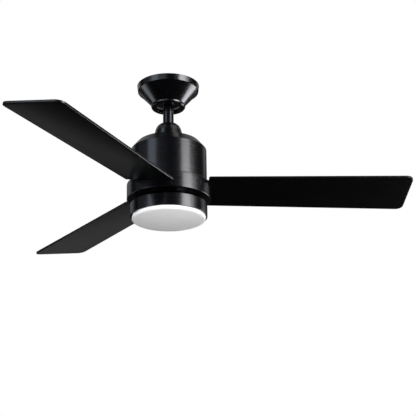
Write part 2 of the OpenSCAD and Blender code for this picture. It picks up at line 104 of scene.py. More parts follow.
def soft_box(name, azimuth, elevation, half_width, half_height, radiance, colour, glossy=True):
    """A rectangle of light that faces the fan. Its place and its half sizes are angles seen from the fan.

    Azimuth is from +X towards +Y. A box that isn't glossy lights matt surfaces only."""
    a = math.radians(azimuth)
    e = math.radians(elevation)
    direction = Vector((math.cos(a) * math.cos(e), math.sin(a) * math.cos(e), math.sin(e)))
    width = 2 * LIGHT_DISTANCE * math.tan(math.radians(half_width))
    height = 2 * LIGHT_DISTANCE * math.tan(math.radians(half_height))
    data = bpy.data.lights.new(name, "AREA")
    data.shape = "RECTANGLE"
    data.size = width
    data.size_y = height
    data.energy = math.pi * width * height * radiance
    data.color = colour
    light = bpy.data.objects.new(name, data)
    light.location = LIT_POINT + direction * LIGHT_DISTANCE
    light.rotation_mode = "QUATERNION"
    light.rotation_quaternion = direction.to_track_quat("Z", "Y")
    light.visible_camera = False
    light.visible_glossy = glossy
    bpy.context.scene.collection.objects.link(light)


def make_key_lights():
    """Tall boxes beside the camera, each with a wider foot, make the two bright strips down the drum."""
    soft_box("key_right", -40, 13, 12.5, 16, 4.0, (0.96, 0.95, 1.0))
    soft_box("key_right_foot", -33, 8, 19, 9, 9.5, (0.98, 0.97, 1.0))
    soft_box("key_left", -142, 18, 12, 20, 1.5, (0.74, 0.85, 1.0))
    soft_box("key_left_foot", -131, 8, 33, 9, 1.1, (0.8, 0.87, 1.0))


def make_edge_lights():
    """Boxes above, at the side and behind, for the sloped faces and for the outline's edges."""
    soft_box("top_right", -30, 48, 22, 12, 0.9, WHITE)
    soft_box("top_left", -152, 50, 20, 12, 0.4, WHITE)
    soft_box("low_right", 27, -18, 12, 14, 7.8, (0.94, 0.93, 1.0))
    soft_box("low_left", 153, -22, 9, 13, 1.9, PALE_BLUE)
    soft_box("side_left", -178, 12, 14, 14, 0.16, PALE_BLUE)
    soft_box("rim_left", 122, 16, 16, 14, 0.25, (0.9, 0.95, 1.0))
    soft_box("rim_right", 58, 18, 14, 14, 0.06, WHITE)
    soft_box("back", 92, -7, 20, 7, 0.17, WHITE)


def make_broad_lights():
    """Broad boxes for the opal lens, the upper faces and the floor.

    Of these, the black coat mirrors only top_back."""
    soft_box("front_low", -92, -9, 42, 9, 8.4, SOFT_WHITE, glossy=False)
    soft_box("bounce", -92, -42, 45, 10, 3.6, SOFT_WHITE, glossy=False)
    soft_box("top_back", 90, 50, 50, 24, 0.3, WHITE)
    soft_box("overhead", -90, 80, 35, 35, 13.0, WHITE, glossy=False)


def make_world():
    """White to the camera, so the background is plain; dim as a light, so black metal stays black."""
    world = bpy.data.worlds.new("studio")
    world.use_nodes = True
    nodes, links = world.node_tree.nodes, world.node_tree.links
    nodes.clear()
    out = nodes.new("ShaderNodeOutputWorld")
    mix = nodes.new("ShaderNodeMixShader")
    path = nodes.new("ShaderNodeLightPath")
    seen = nodes.new("ShaderNodeBackground")
    lit = nodes.new("ShaderNodeBackground")
    seen.inputs["Color"].default_value = (1, 1, 1, 1)
    seen.inputs["Strength"].default_value = 1.0
    lit.inputs["Color"].default_value = (0.9, 0.94, 1.0, 1)
    lit.inputs["Strength"].default_value = AMBIENT
    links.new(path.outputs["Is Camera Ray"], mix.inputs["Fac"])
    links.new(lit.outputs["Background"], mix.inputs[1])
    links.new(seen.outputs["Background"], mix.inputs[2])
    links.new(mix.outputs["Shader"], out.inputs["Surface"])
    bpy.context.scene.world = world


# ---------------------------------------------------------------- materials

# Most of a noise texture's values lie between these two.
NOISE_LOW = 0.3
NOISE_HIGH = 0.7
# Noise stretched by this has the same grain along every axis.
EVEN = (1, 1, 1)


def node_tree(name):
    """A new material with a Principled shader; returns it with its nodes, its links and the shader."""
    material = bpy.data.materials.new(name)
    material.use_nodes = True
    nodes, links = material.node_tree.nodes, material.node_tree.links
    nodes.clear()
    out = nodes.new("ShaderNodeOutputMaterial")
    shader = nodes.new("ShaderNodeBsdfPrincipled")
    links.new(shader.outputs["BSDF"], out.inputs["Surface"])
    return material, nodes, links, shader


def noise(nodes, links, vector, scale, detail):
    """Noise of so many cells a metre."""
    made = nodes.new("ShaderNodeTexNoise")
    made.inputs["Scale"].default_value = scale
    made.inputs["Detail"].default_value = detail
    made.inputs["Roughness"].default_value = 0.5
    links.new(vector, made.inputs["Vector"])
    return made.outputs["Fac"]


def spread(nodes, links, value, low, high, start=NOISE_LOW, stop=NOISE_HIGH):
    """Maps noise to a range of numbers."""
    made = nodes.new("ShaderNodeMapRange")
    made.inputs["From Min"].default_value = start
    made.inputs["From Max"].default_value = stop
    made.inputs["To Min"].default_value = low
    made.inputs["To Max"].default_value = high
    links.new(value, made.inputs["Value"])
    return made.outputs["Result"]


def blend_colours(nodes, links, value, dark, light):
    """Colour that runs from dark to light with the noise."""
    made = nodes.new("ShaderNodeValToRGB")
    made.color_ramp.elements[0].position = NOISE_LOW
    made.color_ramp.elements[1].position = NOISE_HIGH
    made.color_ramp.elements[0].color = (*dark, 1)
    made.color_ramp.elements[1].color = (*light, 1)
    links.new(value, made.inputs["Fac"])
    return made.outputs["Color"]


def stretched(nodes, links, scale, kind="Object"):
    """The piece's own coordinates, stretched so that noise runs along it."""
    coords = nodes.new("ShaderNodeTexCoord")
    mapping = nodes.new("ShaderNodeMapping")
    mapping.inputs["Scale"].default_value = scale
    links.new(coords.outputs[kind], mapping.inputs["Vector"])
    return mapping.outputs["Vector"]


def bump(nodes, links, shader, value, depth):
    """Raises the surface with the noise, by a depth in metres."""
    made = nodes.new("ShaderNodeBump")
    made.inputs["Distance"].default_value = depth
    made.inputs["Strength"].default_value = 1.0
    links.new(value, made.inputs["Height"])
    links.new(made.outputs["Normal"], shader.inputs["Normal"])


def grained(name, dark, light, rough, metallic=0.0, scale=400, grain=EVEN, depth=0.00002, coords="Object"):
    """A surface whose colour, roughness and height all follow one grain.

    rough is (lowest, highest); grain stretches the noise, and depth is the bump's height in metres."""
    material, nodes, links, shader = node_tree(name)
    value = noise(nodes, links, stretched(nodes, links, grain, coords), scale, 4.0)
    links.new(blend_colours(nodes, links, value, dark, light), shader.inputs["Base Color"])
    links.new(spread(nodes, links, value, rough[0], rough[1]), shader.inputs["Roughness"])
    shader.inputs["Metallic"].default_value = metallic
    shader.inputs["IOR"].default_value = 1.5
    bump(nodes, links, shader, value, depth)
    return material


def spun_black(name):
    """Black coat on spun sheet: an eggshell of fine orange peel over faint rings of the spinning."""
    material, nodes, links, shader = node_tree(name)
    rings = noise(nodes, links, stretched(nodes, links, (0.02, 0.02, 1)), 320, 5.0)
    peel = noise(nodes, links, stretched(nodes, links, EVEN), 1400, 3.0)
    cloud = noise(nodes, links, stretched(nodes, links, EVEN), 18, 2.0)
    links.new(blend_colours(nodes, links, cloud, (0.0005, 0.0005, 0.0007), (0.0011, 0.0011, 0.0015)),
              shader.inputs["Base Color"])
    add = nodes.new("ShaderNodeMath")
    add.operation = "MULTIPLY_ADD"
    ring_share = add.inputs[1]
    ring_share.default_value = 0.55
    links.new(rings, add.inputs[0])
    links.new(peel, add.inputs[2])
    links.new(spread(nodes, links, add.outputs["Value"], 0.2, 0.3, 0.5, 1.1), shader.inputs["Roughness"])
    shader.inputs["IOR"].default_value = 1.55
    shader.inputs["Coat Weight"].default_value = 0.2
    shader.inputs["Coat Roughness"].default_value = 0.12
    bump(nodes, links, shader, add.outputs["Value"], 0.000012)
    return material


def frosted_white(name):
    """Opal acrylic: bright, slightly translucent and finely matted."""
    material, nodes, links, shader = node_tree(name)
    matt = noise(nodes, links, stretched(nodes, links, EVEN), 1800, 3.0)
    cloud = noise(nodes, links, stretched(nodes, links, EVEN), 25, 2.0)
    links.new(blend_colours(nodes, links, cloud, (0.87, 0.875, 0.88), (0.9, 0.9, 0.9)),
              shader.inputs["Base Color"])
    links.new(spread(nodes, links, matt, 0.42, 0.55), shader.inputs["Roughness"])
    shader.inputs["Subsurface Weight"].default_value = 0.25
    shader.inputs["Subsurface Radius"].default_value = (0.01, 0.01, 0.01)
    shader.inputs["Subsurface Scale"].default_value = 0.6
    bump(nodes, links, shader, matt, 0.00001)
    return material


STEEL_DARK = (0.32, 0.32, 0.33)
STEEL_LIGHT = (0.55, 0.55, 0.57)

MATERIALS = {
    "black_metal": spun_black("black_metal"),
    "blade_board": grained("blade_board", (0.0006, 0.0006, 0.0006), (0.0014, 0.0013, 0.0012), (0.28, 0.33),
                           scale=160, grain=(0.06, 1, 1), coords="UV"),
    "frosted_acrylic": frosted_white("frosted_acrylic"),
    "zinc_steel": grained("zinc_steel", STEEL_DARK, STEEL_LIGHT, (0.3, 0.45), 1.0, 120, (1, 0.1, 1)),
    "screw_steel": grained("screw_steel", (0.4, 0.4, 0.42), (0.62, 0.62, 0.64), (0.22, 0.4), 1.0, 700),
    "black_plastic": grained("black_plastic", (0.012, 0.012, 0.013), (0.022, 0.022, 0.024), (0.5, 0.65),
                             scale=1500),
    "circuit_board": grained("circuit_board", (0.01, 0.07, 0.025), (0.02, 0.13, 0.05), (0.3, 0.45),
                             scale=300),
    "connector_plastic": grained("connector_plastic", (0.6, 0.16, 0.02), (0.75, 0.24, 0.03), (0.4, 0.55),
                                 scale=600),
    "ground_green": grained("ground_green", (0.01, 0.13, 0.03), (0.03, 0.22, 0.06), (0.3, 0.4), 0.6, 500),
    "ball_plastic": grained("ball_plastic", (0.015, 0.015, 0.016), (0.03, 0.03, 0.032), (0.4, 0.55),
                            scale=800),
    "cast_iron": grained("cast_iron", (0.02, 0.02, 0.021), (0.05, 0.05, 0.052), (0.55, 0.8), 0.3, 500,
                         depth=0.00015),
    "shaft_steel": grained("shaft_steel", STEEL_DARK, STEEL_LIGHT, (0.2, 0.35), 1.0, 900, (0.05, 0.05, 1)),
    "lamination_steel": grained("lamination_steel", (0.1, 0.1, 0.11), (0.28, 0.28, 0.3), (0.35, 0.55), 0.9,
                                1200, (0.02, 0.02, 1), 0.00005),
    "copper": grained("copper", (0.3, 0.09, 0.03), (0.62, 0.24, 0.1), (0.25, 0.4), 0.9, 700, (1, 1, 0.2),
                      0.0002),
    "bearing_steel": grained("bearing_steel", (0.55, 0.55, 0.57), (0.7, 0.7, 0.72), (0.08, 0.16), 1.0, 900),
    "cast_aluminium": grained("cast_aluminium", (0.28, 0.28, 0.29), (0.45, 0.45, 0.46), (0.4, 0.6), 0.9,
                              500, depth=0.00008),
    "bracket_steel": grained("bracket_steel", (0.015, 0.015, 0.016), (0.035, 0.035, 0.037), (0.35, 0.5),
                             0.4, 500),
    "white_plastic": grained("white_plastic", (0.66, 0.66, 0.62), (0.76, 0.76, 0.73), (0.35, 0.5),
                             scale=700),
    "white_metal": grained("white_metal", (0.72, 0.72, 0.71), (0.8, 0.8, 0.79), (0.3, 0.42), 0.1, 500),
    "board_white": grained("board_white", (0.74, 0.74, 0.71), (0.82, 0.82, 0.8), (0.3, 0.45), scale=400),
    "led_phosphor": grained("led_phosphor", (0.8, 0.55, 0.08), (0.9, 0.7, 0.18), (0.3, 0.4), scale=1500),
    "wire_insulation": grained("wire_insulation", (0.55, 0.55, 0.53), (0.7, 0.7, 0.68), (0.4, 0.5),
                               scale=500),
}

SLOT_OF = {row["node"]: row["material_slot"] for row in frame["record"]["subparts"]}


def paint(obj, slot):
    """Gives an object the material of a slot, and no other."""
    obj.data.materials.clear()
    obj.data.materials.append(MATERIALS[slot])


# ---------------------------------------------------------------- shapes

def new_object(name, vertices, faces):
    """A mesh object from points in millimetres."""
    mesh = bpy.data.meshes.new(name)
    mesh.from_pydata([(x * MM, y * MM, z * MM) for x, y, z in vertices], [], faces)
    mesh.validate()
    obj = bpy.data.objects.new(name, mesh)
    bpy.context.scene.collection.objects.link(obj)
    return obj


def shade(obj, sharp_above):
    """Smooth faces, with edges above an angle kept sharp, and normals turned outwards."""
    work = bmesh.new()
    work.from_mesh(obj.data)
    bmesh.ops.recalc_face_normals(work, faces=work.faces)
    limit = math.radians(sharp_above)
    for face in work.faces:
        face.smooth = True
    for edge in work.edges:
        edge.smooth = edge.calc_face_angle(0.0) < limit
    work.to_mesh(obj.data)
    work.free()


def rounded(profile):
    """Rounds the corners of a closed profile of (radius, height, corner radius).

    Short support points beside each rounding keep the flats flat when they are shaded smooth."""
    points = []
    count = len(profile)
    for i, (r, z, corner) in enumerate(profile):
        here = Vector((r, z))
        before = Vector(profile[i - 1][:2]) - here
        after = Vector(profile[(i + 1) % count][:2]) - here
        reach = corner / math.tan(before.angle(after) / 2)
        reach = min(reach, 0.42 * before.length, 0.42 * after.length)
        support = min(0.35, 0.2 * reach + 0.1)
        start = here + before.normalized() * reach
        stop = here + after.normalized() * reach
        points.append(start + before.normalized() * support)
        for k in range(ROUNDING_STEPS + 1):
            t = k / ROUNDING_STEPS
            points.append(start * (1 - t) ** 2 + here * 2 * t * (1 - t) + stop * t ** 2)
        points.append(stop + after.normalized() * support)
    return [(p.x, p.y) for p in points]


def lathe(name, profile, segments=SEGMENTS):
    """Turns a closed profile of (radius, height) round the fan's axis.

    Where the profile touches the axis, the shape closes in one point."""
    vertices, rings = [], []
    for r, z in profile:
        if r < 1e-6:
            rings.append([len(vertices)])
            vertices.append((0, 0, z))
            continue
        rings.append(list(range(len(vertices), len(vertices) + segments)))
        for k in range(segments):
            a = 2 * math.pi * k / segments
            vertices.append((r * math.cos(a), r * math.sin(a), z))
    faces = []
    for here, there in zip(rings, rings[1:] + rings[:1]):
        if len(here) == 1 and len(there) == 1:
            continue
        for k in range(segments):
            n = (k + 1) % segments
            if len(here) == 1:
                faces.append((here[0], there[n], there[k]))
            elif len(there) == 1:
                faces.append((here[k], here[n], there[0]))
            else:
                faces.append((here[k], here[n], there[n], there[k]))
    return new_object(name, vertices, faces)


def prism(name, outline, bottom, top):
    """Extrudes an outline of (x, y) between two heights."""
    n = len(outline)
    vertices = [(x, y, bottom) for x, y in outline] + [(x, y, top) for x, y in outline]
    faces = [tuple(range(n - 1, -1, -1)), tuple(range(n, 2 * n))]
    faces += [(k, (k + 1) % n, n + (k + 1) % n, n + k) for k in range(n)]
    return new_object(name, vertices, faces)


def polar(r, degrees):
    """Point at a distance and an angle from the axis."""
    return (r * math.cos(math.radians(degrees)), r * math.sin(math.radians(degrees)))


def arc(cx, cy, rx, ry, start, stop, steps):
    """Points along part of an ellipse, between two angles in degrees."""
    turns = [math.radians(start + (stop - start) * k / steps) for k in range(steps + 1)]
    return [(cx + rx * math.cos(turn), cy + ry * math.sin(turn)) for turn in turns]


def circle(cx, cy, r, count=28):
    """Outline of a round hole or peg."""
    return arc(cx, cy, r, r, 0, 360, count)[:-1]


def arc_strip(r_in, r_out, start, stop):
    """Outline of a ring sector."""
    return arc(0, 0, r_out, r_out, start, stop, ARC_STEPS) + arc(0, 0, r_in, r_in, stop, start, ARC_STEPS)


def sectors(name, r_in, r_out, half_turn, bottom, top):
    """Three equal pieces of a ring; half_turn is half of a piece's angle in degrees."""
    return [prism(name, arc_strip(r_in, r_out, middle - half_turn, middle + half_turn), bottom, top)
            for middle in THIRDS]


def peg(name, r, at, bottom, top):
    """A round bar along Z."""
    return prism(name, circle(at[0], at[1], r), bottom, top)


def pegs(name, r, circle_r, angles, bottom, top):
    """Equal pegs on a circle round the fan's axis."""
    return [peg(name, r, polar(circle_r, angle), bottom, top) for angle in angles]


def cross_rod(name, r, z, half_length):
    """A round bar along X at a height."""
    rod = prism(name, circle(0, 0, r), -half_length, half_length)
    rod.data.transform(Matrix.Translation((0, 0, z * MM)) @ Matrix.Rotation(math.pi / 2, 4, "Y"))
    return rod


def combine(obj, tools, operation):
    """Cuts the tools from the object, or adds them to it, and removes them."""
    for tool in tools:
        change = obj.modifiers.new("combine", "BOOLEAN")
        change.operation = operation
        change.solver = "EXACT"
        change.object = tool
    bpy.context.view_layer.update()
    result = bpy.data.meshes.new_from_object(obj.evaluated_get(bpy.context.evaluated_depsgraph_get()))
    obj.modifiers.clear()
    old = obj.data
    obj.data = result
    bpy.data.meshes.remove(old)
    for tool in tools:
        mesh = tool.data
        bpy.data.objects.remove(tool)
        bpy.data.meshes.remove(mesh)


def settle(obj, node, body, slot_name, sharp_above=32):
    """Shades and paints a finished piece, and puts it in place of a CAD node."""
    shade(obj, sharp_above)
    paint(obj, slot_name)
    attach(obj, body)
    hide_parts(node)


# ---------------------------------------------------------------- ceiling side

CANOPY_R = 73.6
CANOPY_RIM = -14.0
CANOPY_NECK_R = 38.8
CANOPY_BOTTOM = -50.0
CANOPY_OPENING_R = 28.8
CANOPY_SCREW_R = 33
CANOPY_SCREW_HOLE_R = 2.2

TRIM_R = 40.8
TRIM_TOP = -50.3
TRIM_BOTTOM = -57.0
TRIM_COLLAR_R = 28.4
TRIM_LIP_R = 27.5
# The slots run from the keyholes to just past the screws; both angles are in degrees.
KEYHOLE_TURN = 25
SLOT_PAST_SCREW = 3.8
KEYHOLE_R = 3.5
SLOT_HALF = 2.1


def make_canopy():
    """Spun cone under a rim band; a fine step parts the two."""
    canopy = lathe("canopy_shell", rounded([
        (CANOPY_R, 0, 0.5),
        (CANOPY_R - 1.8, CANOPY_RIM, 0.5),
        (CANOPY_R - 3.0, CANOPY_RIM - 0.4, 0.25),
        (CANOPY_R - 3.4, CANOPY_RIM + 0.3, 0.2),
        (CANOPY_NECK_R, CANOPY_BOTTOM + 1.0, 0.5),
        (CANOPY_NECK_R - 0.5, CANOPY_BOTTOM, 0.3),
        (CANOPY_OPENING_R, CANOPY_BOTTOM, 0.3),
        (CANOPY_OPENING_R, CANOPY_BOTTOM + SHEET, 0.3),
        (CANOPY_NECK_R - 1.6, CANOPY_BOTTOM + SHEET, 0.4),
        (CANOPY_R - 5.5, CANOPY_RIM, 1.0),
        (CANOPY_R - 3.2, CANOPY_RIM + 1.4, 1.0),
        (CANOPY_R - SHEET, 0, 0.2)]))
    holes = [peg("hole", CANOPY_SCREW_HOLE_R, (x, 0), CANOPY_BOTTOM - 2, CANOPY_BOTTOM + 4)
             for x in (-CANOPY_SCREW_R, CANOPY_SCREW_R)]
    combine(canopy, holes, "DIFFERENCE")
    settle(canopy, "canopy", "ceiling", "black_metal")


def make_trim_ring():
    """Ring that hides the canopy's screws; it turns off them by two keyhole slots."""
    ring = lathe("trim_ring_shell", rounded([
        (TRIM_R, TRIM_TOP, 0.3),
        (TRIM_R - 0.5, TRIM_BOTTOM + 3.6, 1.0),
        (TRIM_R - 1.9, TRIM_BOTTOM + 1.0, 0.8),
        (TRIM_R - 3.2, TRIM_BOTTOM, 0.5),
        (TRIM_LIP_R, TRIM_BOTTOM, 0.5),
        (TRIM_LIP_R, TRIM_BOTTOM + SHEET, 0.4),
        (TRIM_R - 4.0, TRIM_BOTTOM + SHEET, 0.4),
        (TRIM_R - 2.9, TRIM_BOTTOM + 3.4, 0.6),
        (TRIM_R - 1.4, TRIM_TOP - 1.3, 0.4),
        (TRIM_R - 1.3, TRIM_TOP - 1.0, 0.2),
        (TRIM_COLLAR_R, TRIM_TOP - 1.0, 0.3),
        (TRIM_COLLAR_R, TRIM_TOP, 0.3)]))
    cuts = []
    for turn in (0, 180):
        slot = arc_strip(CANOPY_SCREW_R - SLOT_HALF, CANOPY_SCREW_R + SLOT_HALF,
                         turn - KEYHOLE_TURN, turn + SLOT_PAST_SCREW)
        cuts.append(prism("slot", slot, TRIM_TOP - 1.7, TRIM_TOP + 1.3))
        keyhole_at = polar(CANOPY_SCREW_R, turn - KEYHOLE_TURN)
        cuts.append(peg("keyhole", KEYHOLE_R, keyhole_at, TRIM_TOP - 2.0, TRIM_TOP + 1.6))
    combine(ring, cuts, "DIFFERENCE")
    settle(ring, "canopy_trim_ring", "trim_ring", "black_metal")


# ---------------------------------------------------------------- hanging side

ROD_R = 12.7
ROD_BORE_R = 11.0
ROD_TOP = -24
ROD_BOTTOM = -140
PIN_HEIGHTS = (-30, -126)
PIN_HOLE_R = 3.05
PIN_HALF = 20

COVER_BORE_R = 13.4
COVER_FOOT_R = 34.7
COVER_TOP = -99.0
COVER_BOTTOM = -147.7
# The bell's curve outside and inside, as (radius, depth below the top, rounding).
COVER_OUTSIDE = ((17.0, 0, 2.0), (22.4, 2.4, 3.0), (26.2, 6.0, 3.0), (29.2, 11.6, 5.0), (31.4, 19.0, 8.0))
COVER_INSIDE = ((30.2, 19.2, 8.0), (28.1, 12.2, 5.0), (25.3, 7.0, 3.0), (21.8, 3.6, 2.0), (16.8, SHEET, 1.0))

HOUSING_R = 88.6
HOUSING_TOP_R = 72.8
HOUSING_BORE_R = 19.0
HOUSING_TOP = -147.9
HOUSING_SHOULDER = -166.6
HOUSING_BOTTOM = -251.6
HOUSING_SHEET = 1.4
HOUSING_SCREW_R = 25
HOUSING_SCREW_HOLE_R = 2.1
HOUSING_SCREW_ANGLES = (45, 135, 225, 315)


def make_downrod():
    """Tube with a pin hole near each end."""
    rod = lathe("downrod_tube", rounded([
        (ROD_R, ROD_TOP, 0.4),
        (ROD_R, ROD_BOTTOM, 0.4),
        (ROD_BORE_R, ROD_BOTTOM, 0.3),
        (ROD_BORE_R, ROD_TOP, 0.3)]), segments=96)
    combine(rod, [cross_rod("pin_hole", PIN_HOLE_R, z, PIN_HALF) for z in PIN_HEIGHTS], "DIFFERENCE")
    settle(rod, "downrod", "pendant", "black_metal")


def make_coupling_cover():
    """Bell over the yoke, open below."""
    profile = [(COVER_BORE_R, COVER_TOP, 0.3)]
    profile += [(r, COVER_TOP - depth, rounding) for r, depth, rounding in COVER_OUTSIDE]
    profile += [(COVER_FOOT_R, COVER_BOTTOM, 0.4), (COVER_FOOT_R - SHEET, COVER_BOTTOM, 0.4)]
    profile += [(r, COVER_TOP - depth, rounding) for r, depth, rounding in COVER_INSIDE]
    profile += [(COVER_BORE_R, COVER_TOP - SHEET, 0.3)]
    cover = lathe("coupling_bell", rounded(profile), segments=128)
    settle(cover, "coupling_cover", "pendant", "black_metal")


def make_housing():
    """Deep drawn drum with a sloped shoulder."""
    inner_r = HOUSING_R - HOUSING_SHEET
    housing = lathe("housing_drum", rounded([
        (HOUSING_BORE_R, HOUSING_TOP, 0.3),
        (HOUSING_TOP_R, HOUSING_TOP, 1.4),
        (HOUSING_R, HOUSING_SHOULDER, 2.2),
        (HOUSING_R, HOUSING_BOTTOM, 0.5),
        (inner_r, HOUSING_BOTTOM, 0.5),
        (inner_r, HOUSING_SHOULDER - 0.4, 2.0),
        (HOUSING_TOP_R - 0.8, HOUSING_TOP - HOUSING_SHEET, 1.0),
        (HOUSING_BORE_R, HOUSING_TOP - HOUSING_SHEET, 0.3)]))
    holes = pegs("hole", HOUSING_SCREW_HOLE_R, HOUSING_SCREW_R, HOUSING_SCREW_ANGLES,
                 HOUSING_TOP - 4, HOUSING_TOP + 2)
    combine(housing, holes, "DIFFERENCE")
    settle(housing, "motor_housing", "pendant", "black_metal")


# ---------------------------------------------------------------- turning side

# A blade's own X runs out along it and its Y across it.
BLADE_Z = -264.8
BLADE_PITCH = 10.7
BLADE_T = 5.2
BLADE_EDGE = 1.2
EDGE_STEPS = 4
TONGUE_IN = 48
TONGUE_HALF = 46
SHOULDER = 90
ROOT_HALF = 62
ROOT_CORNER = 4
TIP_R = 559
TIP_HALF = 73
TIP_CORNER = 17
BLADE_SCREWS = ((54, -24), (54, 24), (78, -28), (78, 28))
BLADE_SCREW_HOLE_R = 2.3

BAND_R = 96.5
BAND_TOP_R = 89.6
BAND_FLOOR_R = 52.0
BAND_TOP = -250.5
BAND_BOTTOM = -289.0
BAND_SHEET = 1.3
BAND_FLOOR = BAND_BOTTOM + 1.4
BAND_SCREW_R = 58
BAND_SCREW_HOLE_R = 1.8
BAND_SCREW_ANGLES = (60, 180, 300)
BOSS_R = 4.5
BOSS_TOP = -247.0
SLOT_IN = 80
SLOT_OUT = 102
SLOT_ROOM_ACROSS = 1.5
SLOT_ROOM_ABOVE = 1.0


def blade_matrix(angle):
    """Takes the blade's own frame to its place on the fan."""
    return (Matrix.Rotation(math.radians(angle), 4, "Z") @ Matrix.Translation((0, 0, BLADE_Z * MM))
            @ Matrix.Rotation(math.radians(-BLADE_PITCH), 4, "X"))


def blade_slot(angle):
    """The opening in the band that a blade passes through, with room round the blade."""
    half = TONGUE_HALF + SLOT_ROOM_ACROSS
    rise = BLADE_T / 2 + SLOT_ROOM_ABOVE
    outline = [(SLOT_IN, -half), (SLOT_OUT, -half), (SLOT_OUT, half), (SLOT_IN, half)]
    slot = prism("slot", outline, -rise, rise)
    slot.data.transform(blade_matrix(angle))
    return slot


def make_hub_band():
    """Band that turns with the blades, with a slot for each and a boss for each of its screws."""
    inner_r = BAND_R - BAND_SHEET
    band = lathe("band_ring", rounded([
        (BAND_TOP_R, BAND_TOP, 0.3),
        (BAND_R, BAND_TOP, 2.4),
        (BAND_R, BAND_BOTTOM, 1.8),
        (BAND_FLOOR_R, BAND_BOTTOM, 0.3),
        (BAND_FLOOR_R, BAND_FLOOR, 0.3),
        (inner_r, BAND_FLOOR, 0.4),
        (inner_r, BAND_TOP - BAND_SHEET, 0.4),
        (BAND_TOP_R, BAND_TOP - BAND_SHEET, 0.3)]))
    bosses = pegs("boss", BOSS_R, BAND_SCREW_R, BAND_SCREW_ANGLES, BAND_BOTTOM + 0.4, BOSS_TOP)
    combine(band, bosses, "UNION")
    cuts = pegs("hole", BAND_SCREW_HOLE_R, BAND_SCREW_R, BAND_SCREW_ANGLES, BAND_BOTTOM - 3, BOSS_TOP + 7)
    cuts += [blade_slot(angle) for angle in THIRDS]
    combine(band, cuts, "DIFFERENCE")
    settle(band, "hub_band", "rotor", "black_metal")


def blade_outline():
    """Tongue, shoulders and the flared board with its rounded tip."""
    tip_x = TIP_R - TIP_CORNER
    tip_corner_half = ROOT_HALF + (TIP_HALF - ROOT_HALF) * (tip_x - SHOULDER) / (TIP_R - SHOULDER)
    half = [(TONGUE_IN, -TONGUE_HALF), (SHOULDER, -TONGUE_HALF)]
    half += arc(SHOULDER + ROOT_CORNER, ROOT_CORNER - ROOT_HALF, ROOT_CORNER, ROOT_CORNER, 180, 270, 6)
    half += arc(tip_x, TIP_CORNER - tip_corner_half, TIP_CORNER, TIP_CORNER, -90, 0, 12)
    return half + [(x, -y) for x, y in reversed(half)]


def inset(outline, distance):
    """Moves every side of an anticlockwise outline inwards."""
    moved = []
    count = len(outline)
    for i, (x, y) in enumerate(outline):
        here = Vector((x, y))
        a = (here - Vector(outline[i - 1])).normalized()
        b = (Vector(outline[(i + 1) % count]) - here).normalized()
        inward = (Vector((-a.y, a.x)) + Vector((-b.y, b.x))).normalized()
        share = max(0.3, inward.dot(Vector((-a.y, a.x))))
        moved.append(tuple(here + inward * (distance / share)))
    return moved


def edge_levels():
    """The blade's rounded edge from its upper face to its lower one, as (inset, height)."""
    flat = BLADE_T / 2 - BLADE_EDGE
    turns = [math.radians(90 - 90 * k / EDGE_STEPS) for k in range(EDGE_STEPS + 1)]
    upper = [(BLADE_EDGE * (1 - math.cos(turn)), flat + BLADE_EDGE * math.sin(turn)) for turn in turns]
    return upper + [(distance, -z) for distance, z in reversed(upper)]


def follow_grain(blade):
    """Keeps the flat blade's own coordinates, so that the grain runs along it wherever it points."""
    layer = blade.data.uv_layers.new(name="along")
    for loop in blade.data.loops:
        x, y, z = blade.data.vertices[loop.vertex_index].co
        layer.data[loop.index].uv = (x, y + z)


def make_blade(index, angle):
    """Board with its edges rounded over on both faces."""
    outline = blade_outline()
    levels = edge_levels()
    n = len(outline)
    vertices, faces = [], []
    for distance, z in levels:
        vertices += [(x, y, z) for x, y in inset(outline, distance)]
    for level in range(len(levels) - 1):
        low = level * n
        faces += [(low + k, low + n + k, low + n + (k + 1) % n, low + (k + 1) % n) for k in range(n)]
    faces.append(tuple(range(n)))
    faces.append(tuple(range(len(vertices) - 1, len(vertices) - n - 1, -1)))
    blade = new_object("blade_board_%d" % index, vertices, faces)
    holes = [peg("hole", BLADE_SCREW_HOLE_R, at, -BLADE_T, BLADE_T) for at in BLADE_SCREWS]
    combine(blade, holes, "DIFFERENCE")
    follow_grain(blade)
    blade.data.transform(blade_matrix(angle))
    settle(blade, "blade_%d" % index, "rotor", "blade_board", sharp_above=24)


# ---------------------------------------------------------------- light kit

PAN_R = 88.7
PAN_BORE_R = 14.0
PAN_TOP = -300.0
PAN_BOTTOM = -329.5
PAN_LIP_R = 86.0
PAN_SCREW_R = 50
PAN_SCREW_HOLE_R = 1.8
PAN_SCREW_ANGLES = (90, 210, 330)
TAB_HALF = 9
TAB_TOP = -324.5
TAB_BOTTOM = -326.0
STANDOFF_CIRCLE_R = 72
STANDOFF_ANGLES = (30, 150, 270)
STANDOFF_R = 3
STANDOFF_BORE_R = 1.3
STANDOFF_BOTTOM = -314.0
SWITCH_Z = -308.0
SWITCH_SLOT_HALF = 6
SWITCH_SLOT_RISE = 2.3

LENS_R = 84.6
LENS_SEAT = -329.9
LENS_WALL = 2.0
# The lens rounds over by a flat ellipse, then runs on as a shallow dome.
EDGE_X = 14.0
EDGE_Z = 4.8
EDGE_START_Z = -333.0
EDGE_STOP = -70
CROWN = 4.7
DOME_SHARES = (0.9, 0.75, 0.6, 0.45, 0.3, 0.15)
COLLAR_IN = PAN_R - 6.6
COLLAR_OUT = PAN_R - 4.6
COLLAR_TOP = -322.2
LUG_HALF = 7
LUG_TOP = -322.3
LUG_BOTTOM = -324.2


